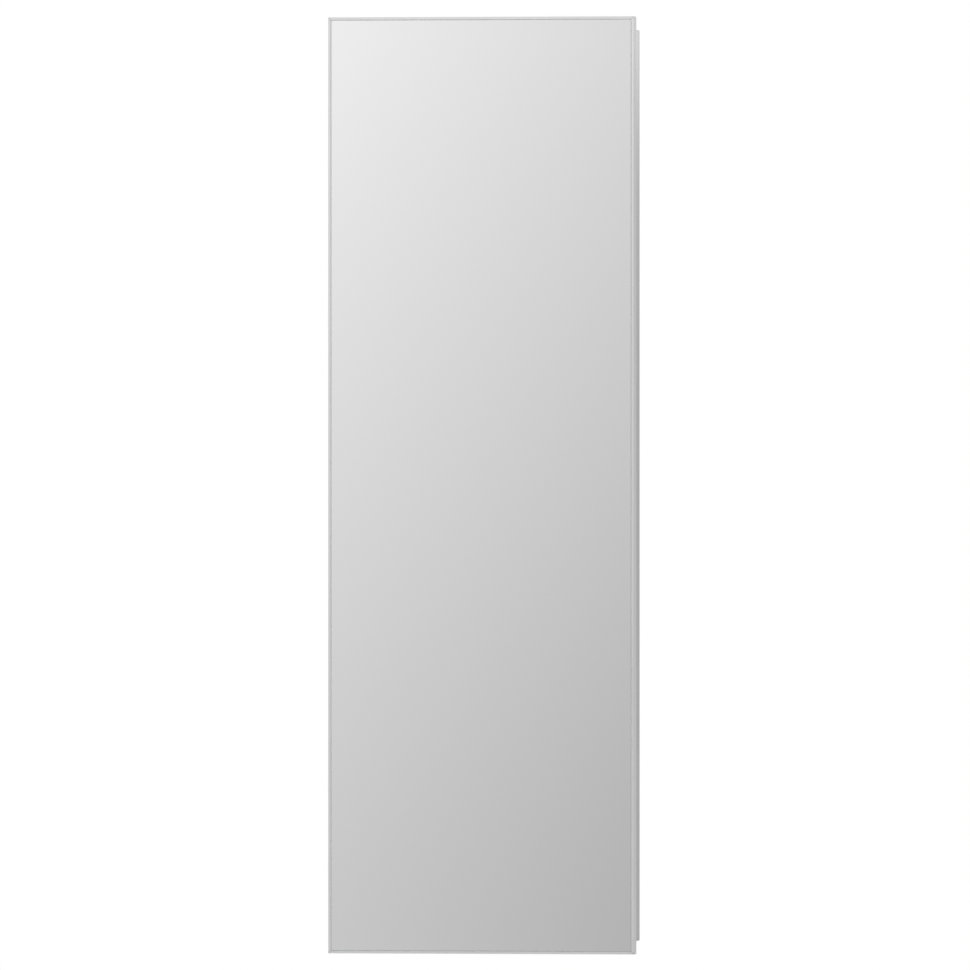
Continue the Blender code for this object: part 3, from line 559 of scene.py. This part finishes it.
def rivet_head(radius, height):
    """A low dome with a narrow rim and the small dimple that the mandrel leaves."""
    rim = height * 0.25
    dimple, dimple_floor = radius * 0.30, height * 0.70
    profile = [(0.0, 0.0), (radius, 0.0), (radius, rim)]
    for i in range(1, 5):
        angle = i * math.pi / 10
        profile.append((radius * math.cos(angle), rim + (height - rim) * math.sin(angle)))
    profile += [(dimple, height), (dimple * 0.8, height * 0.72), (0.0, dimple_floor)]
    bm = bmesh.new()
    lathe(bm, profile)
    return finish_mesh(bm, "rivet_head")


def cross_cutter(radius, height):
    """Two crossed bars that taper towards the bottom, for a screw's recess."""
    long_side, short_side, depth = radius * 1.25, radius * 0.28, height * 0.75
    foot_share = 0.45
    bm = bmesh.new()
    for turn in (0.0, math.pi / 2):
        matrix = Matrix.Rotation(turn, 4, "Z") @ Matrix.Translation((0, 0, height))
        made = bmesh.ops.create_cube(bm, size=1.0, matrix=matrix)["verts"]
        for vertex in made:
            local = matrix.inverted() @ vertex.co
            taper = foot_share if local.z < 0 else 1.0
            size = (local.x * long_side * taper, local.y * short_side, local.z * 2 * depth)
            vertex.co = matrix @ Vector(size)
    return finish_mesh(bm, "cross_cutter")


def screw_head(radius, height):
    """A pan head with a cross recess cut in it."""
    rim, flat_radius = height * 0.35, radius * 0.45
    profile = [(0.0, 0.0), (radius, 0.0), (radius, rim)]
    for i in range(1, 6):
        angle = i * math.pi / 12
        reach = flat_radius + (radius - flat_radius) * math.cos(angle)
        profile.append((reach, rim + (height - rim) * math.sin(angle)))
    profile.append((0.0, height))
    bm = bmesh.new()
    lathe(bm, profile)
    head = bpy.data.objects.new("screw_blank", finish_mesh(bm, "screw_blank"))
    tool = bpy.data.objects.new("cross_cutter", cross_cutter(radius, height))
    for obj in (head, tool):
        bpy.context.scene.collection.objects.link(obj)
    cut = head.modifiers.new("recess", "BOOLEAN")
    cut.operation = "DIFFERENCE"
    cut.solver = "EXACT"
    cut.use_self = True
    cut.object = tool
    graph = bpy.context.evaluated_depsgraph_get()
    mesh = bpy.data.meshes.new_from_object(head.evaluated_get(graph))
    for obj in (head, tool):
        bpy.data.objects.remove(obj, do_unlink=True)
    mesh.set_sharp_from_angle(angle=SHARP_ANGLE)
    return mesh


def standing_on(at, normal, turn=0.0):
    """Places a part's own +Z along a face's normal, turned about it."""
    tilt = UP.rotation_difference(Vector(normal)).to_matrix().to_4x4()
    return Matrix.Translation(at) @ tilt @ Matrix.Rotation(turn, 4, "Z")


def copies(name, part, places, body, slot):
    """One piece made of like fixings, each at its own matrix."""
    bm = bmesh.new()
    for matrix in places:
        start = len(bm.verts)
        bm.from_mesh(part)
        bm.verts.ensure_lookup_table()
        bmesh.ops.transform(bm, matrix=matrix, verts=bm.verts[start:])
    return new_piece(name, finish_mesh(bm, name), body, slot)


def mitred_ring(name, low, high, section):
    """A strip with mitred corners round an upright rectangle; section points are (reach, Y)."""
    bm = bmesh.new()
    loops = []
    for reach, y in section:
        left, right = low.x - reach, high.x + reach
        foot, head = low.z - reach, high.z + reach
        corners = [(left, y, foot), (right, y, foot), (right, y, head), (left, y, head)]
        loops.append([bm.verts.new(corner) for corner in corners])
    for one, other in zip(loops, loops[1:] + loops[:1]):
        for i in range(4):
            j = (i + 1) % 4
            bm.faces.new((one[i], one[j], other[j], other[i]))
    return finish_mesh(bm, name)


def spread(low, high, count):
    return [low + (high - low) * i / (count - 1) for i in range(count)]


def screw_turns(count, seed):
    """How far each screw of a group happens to be turned."""
    chance = random.Random(seed)
    return [chance.uniform(0.0, math.pi / 2) for _ in range(count)]


# Operators


class CabinetOperator:
    """What the cabinet's operators share"""

    bl_options = {"REGISTER", "UNDO"}


class CABINET_OT_finishes(CabinetOperator, bpy.types.Operator):
    """Give every carried-over part the finish of its slot"""

    bl_idname = "cabinet.finishes"
    bl_label = "Finishes"

    LEVEL = ("frame_top", "frame_bottom")

    def execute(self, context):
        make_finishes(context.scene.cabinet_finishes)
        for row in frame["record"]["subparts"]:
            finish = row["material_slot"]
            if row["node"] in self.LEVEL:
                finish += "_level"
            for holder in frame["nodes"][row["node"]].material_slots:
                holder.material = FINISHES[finish]
        return {"FINISHED"}


class CABINET_OT_shelf_glass(CabinetOperator, bpy.types.Operator):
    """Replace each shelf with float glass that has eased corners and green polished edges"""

    bl_idname = "cabinet.shelf_glass"
    bl_label = "Shelf glass"

    CORNER = 3.0 * MM
    ARRIS = 0.7 * MM

    @staticmethod
    def tilt(edge):
        return abs((edge.verts[0].co - edge.verts[1].co).z)

    @staticmethod
    def on_rim(edge):
        """Whether the edge lies between a level face and an upright one."""
        slopes = [abs(face.normal.z) for face in edge.link_faces]
        return max(slopes) > 0.9 and min(slopes) < 0.1

    def shelf(self, name):
        low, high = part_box(name)
        bm = bmesh.new()
        add_block(bm, (low + high) / 2, high - low)
        bevel(bm, [edge for edge in bm.edges if self.tilt(edge) > MM], self.CORNER, 5)
        level = [edge for edge in bm.edges if self.tilt(edge) < 0.01 * MM]
        bevel(bm, [edge for edge in level if self.on_rim(edge)], self.ARRIS, 2)
        bm.normal_update()
        for face in bm.faces:
            face.material_index = 0 if abs(face.normal.z) > 0.95 else 1
        glass = f"{name}_float_glass"
        finishes = (FINISHES["shelf_glass"], FINISHES["shelf_edge"])
        piece = new_piece(glass, finish_mesh(bm, glass), "cabinet", "shelf_glass", *finishes)
        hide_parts(name)

    def execute(self, context):
        for name in sorted(frame["nodes"]):
            if name.startswith("shelf_") and name[6:].isdigit():
                self.shelf(name)
        return {"FINISHED"}


class CABINET_OT_hinge_rivets(CabinetOperator, bpy.types.Operator):
    """Rivet both leaves of the long hinge"""

    bl_idname = "cabinet.hinge_rivets"
    bl_label = "Hinge rivets"

    LEAF_SHEET = 0.9 * MM
    KNUCKLE = 5.0 * MM  # of the leaf's width, next to the pin
    END = 20.0 * MM  # leaf's end to its first rivet

    def execute(self, context):
        fixings = context.scene.cabinet_fixings
        head = rivet_head(fixings.rivet_radius, fixings.rivet_height)
        for leaf, body, normal in (
            ("hinge_leaf_body", "cabinet", FRONT),
            ("hinge_leaf_door", "door", BACK),
        ):
            low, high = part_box(leaf)
            x = (low.x + self.KNUCKLE + high.x) / 2
            y = high.y - self.LEAF_SHEET if normal == FRONT else low.y + self.LEAF_SHEET
            levels = spread(low.z + self.END, high.z - self.END, fixings.hinge_rivets)
            places = [standing_on((x, y, z), normal) for z in levels]
            copies(f"{leaf}_rivets", head, places, body, "hinge_steel")
        return {"FINISHED"}


class CABINET_OT_corner_rivets(CabinetOperator, bpy.types.Operator):
    """Rivet the angle piece in each corner to the two walls it joins"""

    bl_idname = "cabinet.corner_rivets"
    bl_label = "Corner rivets"

    SHEET = 2.0 * MM
    ALONG = 15.0 * MM  # from the corner, down each leg

    def execute(self, context):
        fixings = context.scene.cabinet_fixings
        head = rivet_head(fixings.rivet_radius, fixings.rivet_height)
        places = []
        for rise, level in ((1, "top"), (-1, "bottom")):
            for side, hand in ((-1, "left"), (1, "right")):
                low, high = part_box(f"corner_{level}_{hand}")
                wall_x = high.x if side > 0 else low.x
                wall_z = high.z if rise > 0 else low.z
                for y in spread(low.y + self.ALONG / 2, high.y - self.ALONG / 2, 2):
                    on_side = (wall_x - side * self.SHEET, y, wall_z - rise * self.ALONG)
                    places.append(standing_on(on_side, -side * RIGHT))
                    on_level = (wall_x - side * self.ALONG, y, wall_z - rise * self.SHEET)
                    places.append(standing_on(on_level, -rise * UP))
        copies("corner_rivets", head, places, "cabinet", "zinc_steel")
        return {"FINISHED"}


class CABINET_OT_strip_screws(CabinetOperator, bpy.types.Operator):
    """Screw the shelf strips to the sides, between their holes"""

    bl_idname = "cabinet.strip_screws"
    bl_label = "Strip screws"

    PITCH = 56.0 * MM
    LEVELS = (-6.5, -2.5, 1.5, 5.5)  # in pitches from the middle
    FLATTER = 0.7

    def execute(self, context):
        fixings = context.scene.cabinet_fixings
        head = screw_head(fixings.screw_radius, fixings.screw_height * self.FLATTER)
        for row in ("front", "rear"):
            for side, hand in ((-1, "left"), (1, "right")):
                strip = f"shelf_strip_{row}_{hand}"
                low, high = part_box(strip)
                face = low.x if side > 0 else high.x
                y = (low.y + high.y) / 2
                turns = screw_turns(len(self.LEVELS), strip)
                places = [
                    standing_on((face, y, level * self.PITCH), -side * RIGHT, turn)
                    for level, turn in zip(self.LEVELS, turns)
                ]
                copies(f"{strip}_screws", head, places, "cabinet", "zinc_steel")
        return {"FINISHED"}


class CABINET_OT_hanging_rivets(CabinetOperator, bpy.types.Operator):
    """Rivet the hangers and the rear brace to the back panel"""

    bl_idname = "cabinet.hanging_rivets"
    bl_label = "Hanging rivets"

    SHEET = 2.0 * MM
    FROM_SIDE = 8.0 * MM
    FROM_FOOT = 6.0 * MM
    BRACE_SHEET = 1.5 * MM
    BRACE_FOOT = 10.0 * MM
    BRACE_FROM_END = 15.0 * MM
    BRACE_RIVETS = 4

    def execute(self, context):
        fixings = context.scene.cabinet_fixings
        head = rivet_head(fixings.rivet_radius, fixings.rivet_height)
        places = []
        for hand in ("left", "right"):
            low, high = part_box(f"hanger_{hand}")
            for x in spread(low.x + self.FROM_SIDE, high.x - self.FROM_SIDE, 2):
                at = (x, low.y + self.SHEET, low.z + self.FROM_FOOT)
                places.append(standing_on(at, BACK))
        low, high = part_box("rear_brace")
        start, end = low.x + self.BRACE_FROM_END, high.x - self.BRACE_FROM_END
        for x in spread(start, end, self.BRACE_RIVETS):
            for z in (low.z + self.BRACE_FOOT / 2, high.z - self.BRACE_FOOT / 2):
                places.append(standing_on((x, low.y + self.BRACE_SHEET, z), BACK))
        copies("hanging_rivets", head, places, "cabinet", "zinc_steel")
        return {"FINISHED"}


class CABINET_OT_door_back(CabinetOperator, bpy.types.Operator):
    """Add the mitre screws and the sealing bead on the back of the door"""

    bl_idname = "cabinet.door_back"
    bl_label = "Door back"

    FROM_CORNER = 13.0 * MM
    CORNER_STEP = 9.0 * MM  # how much further out a screw is along the other way
    NARROWER = 0.85
    FLATTER = 0.5
    BEAD_STEPS = 16

    def bead(self, radius):
        low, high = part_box("rear_mirror")
        section = [(reach, high.y + out) for reach, out in circle(radius, self.BEAD_STEPS)]
        mesh = mitred_ring("mirror_seal_bead", low, high, section)
        new_piece("mirror_seal_bead", mesh, "door", "bumper_rubber")

    def execute(self, context):
        fixings = context.scene.cabinet_fixings
        self.bead(fixings.bead_radius)
        radius, height = fixings.screw_radius * self.NARROWER, fixings.screw_height * self.FLATTER
        head = screw_head(radius, height)
        low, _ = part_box("frame_left")
        _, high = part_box("frame_right")
        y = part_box("rear_mirror")[1].y
        places = []
        turns = screw_turns(8, "door back")
        near, far = self.FROM_CORNER, self.FROM_CORNER + self.CORNER_STEP
        for side_x, edge_x in ((1, low.x), (-1, high.x)):
            for side_z, edge_z in ((1, low.z), (-1, high.z)):
                for along_x, along_z in ((near, far), (far, near)):
                    at = (edge_x + side_x * along_x, y, edge_z + side_z * along_z)
                    places.append(standing_on(at, BACK, turns[len(places)]))
        copies("door_mitre_screws", head, places, "door", "zinc_steel")
        return {"FINISHED"}


class CABINET_OT_mirror_bedding(CabinetOperator, bpy.types.Operator):
    """Fill the joint round the face mirror with a thin bedding strip, set back from the front"""

    bl_idname = "cabinet.mirror_bedding"
    bl_label = "Mirror bedding"

    JOINT = 0.3 * MM
    SETBACK = 0.25 * MM  # from the mirror's face

    def execute(self, context):
        low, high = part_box("front_mirror")
        front = low.y + self.SETBACK
        section = [(0.0, front), (self.JOINT, front), (self.JOINT, high.y), (0.0, high.y)]
        mesh = mitred_ring("mirror_bedding", low, high, section)
        new_piece("mirror_bedding", mesh, "door", "white_plastic")
        return {"FINISHED"}


class CABINET_OT_catches(CabinetOperator, bpy.types.Operator):
    """Set the two steel pole bars in the face of each magnet"""

    bl_idname = "cabinet.catches"
    bl_label = "Catches"

    BAR = Vector((1.3 * MM, 0.25 * MM, 6.6 * MM))
    SPACING = 3.0 * MM
    EDGE = 0.08 * MM

    def execute(self, context):
        for level in ("top", "bottom"):
            low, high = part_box(f"catch_magnet_{level}")
            middle = (low + high) / 2
            bm = bmesh.new()
            for side in (-1, 1):
                at = (middle.x + side * self.SPACING / 2, low.y, middle.z)
                add_block(bm, at, self.BAR)
            bevel(bm, bm.edges[:], self.EDGE, 1)
            name = f"catch_poles_{level}"
            new_piece(name, finish_mesh(bm, name), "cabinet", "zinc_steel")
        return {"FINISHED"}


class CABINET_OT_stage(CabinetOperator, bpy.types.Operator):
    """Set the pale floor, the soft lights and the camera"""

    bl_idname = "cabinet.stage"
    bl_label = "Stage"

    FLOOR_SIZE = 12.0
    FLOOR_FADE = (1.2, 5.5)  # from the middle to where it starts to fade and to where it is gone
    CARD_DISTANCE = 2.2
    CARD_SIZE = (3.2, 3.0)
    # The card's brightness runs between four corners, across the part that the mirror shows
    CARD_REACH = (0.16, 0.50)
    CARD_TOP = (0.92, 0.76)
    CARD_BOTTOM = (0.615, 0.494)
    CARD_RISE = 1.2
    # Name, place, target, size, watts, and whether polished faces show it
    LIGHTS = (
        ("key_left", (-2.4, -2.6, 2.6), (0.0, 0.0, 0.0), (1.6, 1.6), 55.0, False),
        ("top_right", (0.26, -0.12, 0.47), (0.14, -0.05, 0.42), (0.08, 0.08), 0.22, False),
        ("halo", (0.14, -2.2, 0.80), (0.14, 0.0, 0.45), (0.40, 0.34), 0.5, True),
        ("overhead", (0.0, -0.2, 2.4), (0.0, -0.05, 0.0), (2.0, 2.0), 4.5, True),
        ("rim_behind", (-1.8, 2.4, 1.8), (0.0, 0.0, 0.0), (1.6, 1.6), 40.0, False),
    )
    # How far left of and above the cabinet's middle the camera looks
    AIM_LEFT = 4.5 * MM
    AIM_UP = 0.4 * MM

    def world(self, fill):
        """An even fill for the cabinet, with white behind it."""
        world = bpy.data.worlds.new("studio")
        bpy.context.scene.world = world
        world.use_nodes = True
        tree = world.node_tree
        seen = add_node(tree, "ShaderNodeLightPath").outputs["Is Camera Ray"]
        colour = mix_colours(tree, seen, solid((fill, fill, fill)), solid((1.0, 1.0, 1.0)))
        tree.links.new(colour, tree.nodes["Background"].inputs["Color"])

    def sheet(self, name, size, material):
        """A flat rectangle about the origin that stands for something in the studio."""
        bm = bmesh.new()
        bmesh.ops.create_grid(bm, x_segments=1, y_segments=1, size=0.5)
        bmesh.ops.scale(bm, vec=(*size, 1.0), verts=bm.verts)
        mesh = bpy.data.meshes.new(name)
        bm.to_mesh(mesh)
        bm.free()
        mesh.materials.append(material)
        sheet = bpy.data.objects.new(name, mesh)
        bpy.context.scene.collection.objects.link(sheet)
        sheet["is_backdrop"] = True
        return sheet

    def floor(self, stage):
        """A pale floor that fades out far off and is clear from underneath."""
        material, tree, shader = new_finish("pale_floor", Roughness=0.6)
        tone = effect(tree, "grain", "Value", Scale=1.5, Detail=3.0)
        pale = stage.floor_colour
        shade = mix_colours(tree, tone, scaled(pale, 0.985), scaled(pale, 1.01))
        tree.links.new(shade, shader.inputs["Base Color"])
        place = {0: object_place(tree)}
        reach = add_node(tree, "ShaderNodeVectorMath", place, operation="LENGTH").outputs["Value"]
        fade = remap(tree, reach, *self.FLOOR_FADE, 1.0, 0.0)
        under = add_node(tree, "ShaderNodeNewGeometry").outputs["Backfacing"]
        above = calculate(tree, "SUBTRACT", 1.0, under)
        tree.links.new(calculate(tree, "MULTIPLY", fade, above), shader.inputs["Alpha"])
        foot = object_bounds()[0].z - stage.floor_drop
        floor = self.sheet("floor", (self.FLOOR_SIZE, self.FLOOR_SIZE), material)
        floor.data.transform(Matrix.Translation((0.0, 0.0, foot)))

    def card_glow(self):
        """A glow that runs smoothly between the four corners of the card."""
        material = bpy.data.materials.new("front_card_glow")
        material.use_nodes = True
        tree = material.node_tree
        tree.nodes.remove(tree.nodes["Principled BSDF"])
        parts = add_node(tree, "ShaderNodeSeparateXYZ", {0: object_place(tree)}).outputs
        reach_x, reach_y = self.CARD_REACH
        across = remap(tree, parts["X"], -reach_x, reach_x, 0.0, 1.0)
        rise = remap(tree, parts["Y"], -reach_y, reach_y, 0.0, 1.0)
        up = calculate(tree, "POWER", rise, self.CARD_RISE)
        top = remap(tree, across, 0.0, 1.0, *self.CARD_TOP)
        bottom = remap(tree, across, 0.0, 1.0, *self.CARD_BOTTOM)
        glow = mix_values(tree, up, bottom, top)
        shine = add_node(tree, "ShaderNodeEmission", {"Strength": glow})
        surface = tree.nodes["Material Output"].inputs["Surface"]
        tree.links.new(shine.outputs[0], surface)
        return material

    def card(self, stage):
        """A large soft card in front, where the mirror shows it to the camera."""
        aside = -math.tan(stage.azimuth) * self.CARD_DISTANCE
        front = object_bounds()[0].y - self.CARD_DISTANCE
        card = self.sheet("front_card", self.CARD_SIZE, self.card_glow())
        upright = Matrix.Rotation(math.pi / 2, 4, "X")
        card.matrix_world = Matrix.Translation((aside, front, 0.0)) @ upright
        card.visible_camera = False
        card.visible_shadow = False

    def area_light(self, name, at, target, size, power, in_reflections):
        light = bpy.data.lights.new(name, "AREA")
        light.shape = "RECTANGLE"
        light.size, light.size_y = size
        light.energy = power
        lamp = bpy.data.objects.new(name, light)
        lamp.location = at
        aim = Vector(target) - Vector(at)
        lamp.rotation_euler = aim.to_track_quat("-Z", "Y").to_euler()
        lamp.visible_camera = False
        lamp.visible_glossy = in_reflections
        bpy.context.scene.collection.objects.link(lamp)

    def camera(self, stage):
        low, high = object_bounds()
        sine, cosine = math.sin(stage.azimuth), math.cos(stage.azimuth)
        away = Vector((sine, -cosine, 0.0))
        across = Vector((cosine, sine, 0.0))
        target = (low + high) / 2 - across * self.AIM_LEFT + UP * self.AIM_UP
        data = bpy.data.cameras.new("camera")
        data.lens = data.sensor_width * stage.distance / stage.view_height
        data.clip_end = 100.0
        camera = bpy.data.objects.new("camera", data)
        camera.location = target + away * stage.distance
        camera.rotation_euler = (-away).to_track_quat("-Z", "Y").to_euler()
        bpy.context.scene.collection.objects.link(camera)
        bpy.context.scene.camera = camera

    def execute(self, context):
        stage = context.scene.cabinet_stage
        context.scene.view_settings.view_transform = "Standard"
        self.world(stage.fill)
        self.floor(stage)
        self.card(stage)
        for light in self.LIGHTS:
            self.area_light(*light)
        self.camera(stage)
        return {"FINISHED"}


STEPS = (
    CABINET_OT_finishes,
    CABINET_OT_shelf_glass,
    CABINET_OT_hinge_rivets,
    CABINET_OT_corner_rivets,
    CABINET_OT_strip_screws,
    CABINET_OT_hanging_rivets,
    CABINET_OT_door_back,
    CABINET_OT_mirror_bedding,
    CABINET_OT_catches,
    CABINET_OT_stage,
)


class CABINET_PT_looks(bpy.types.Panel):
    """Lists the cabinet's steps and the settings they read"""

    bl_idname = "CABINET_PT_looks"
    bl_label = "Mirror Cabinet"
    bl_space_type = "VIEW_3D"
    bl_region_type = "UI"
    bl_category = "Cabinet"

    def draw(self, context):
        for settings in ("cabinet_finishes", "cabinet_fixings", "cabinet_stage"):
            group = getattr(context.scene, settings)
            box = self.layout.box()
            for name in group.__annotations__:
                box.prop(group, name)
        for step in STEPS:
            self.layout.operator(step.bl_idname)


GROUPS = (CabinetFinishes, CabinetFixings, CabinetStage)
CLASSES = (*GROUPS, *STEPS, CABINET_PT_looks)


def register():
    for item in CLASSES:
        bpy.utils.register_class(item)
    bpy.types.Scene.cabinet_finishes = PointerProperty(type=CabinetFinishes)
    bpy.types.Scene.cabinet_fixings = PointerProperty(type=CabinetFixings)
    bpy.types.Scene.cabinet_stage = PointerProperty(type=CabinetStage)


def unregister():
    for name in ("cabinet_finishes", "cabinet_fixings", "cabinet_stage"):
        delattr(bpy.types.Scene, name)
    for item in reversed(CLASSES):
        bpy.utils.unregister_class(item)


def main():
    register()
    bpy.ops.cabinet.finishes()
    bpy.ops.cabinet.shelf_glass()
    bpy.ops.cabinet.hinge_rivets()
    bpy.ops.cabinet.corner_rivets()
    bpy.ops.cabinet.strip_screws()
    bpy.ops.cabinet.hanging_rivets()
    bpy.ops.cabinet.door_back()
    bpy.ops.cabinet.mirror_bedding()
    bpy.ops.cabinet.catches()
    bpy.ops.cabinet.stage()


if __name__ == "__main__":
    main()
